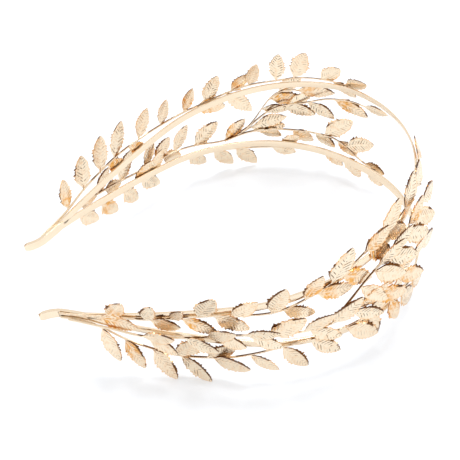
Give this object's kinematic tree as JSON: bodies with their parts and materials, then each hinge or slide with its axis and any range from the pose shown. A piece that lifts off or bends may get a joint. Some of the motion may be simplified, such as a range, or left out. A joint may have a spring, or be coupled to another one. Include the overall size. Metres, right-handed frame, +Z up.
{
  "type": "laurel wreath crown",
  "caption": "Open laurel wreath crown: a metal headband of two flat rails joined at the tips, with stems of small stamped leaves along both arms pointing towards a bare crown end.",
  "frame": {"origin": "on the surface that the wreath lies on, under the middle of its whole length and width", "axes": "+Z up from the surface; +X from the open end to the crown end; the left arm lies at +Y and the right arm at -Y"},
  "size_m": [0.157, 0.1328, 0.0631],
  "materials": {
    "gold_band": "polished champagne gold plating",
    "gold_leaf": "bright champagne gold plating on stamped leaf, veins pressed in"
  },
  "bodies": {
    "root": {"band_rails": "gold_band", "left_upper_spray": "gold_leaf", "left_inner_spray": "gold_leaf", "left_lower_spray": "gold_leaf", "right_upper_spray": "gold_leaf", "right_inner_spray": "gold_leaf", "right_lower_spray": "gold_leaf"}
  },
  "joints": []
}
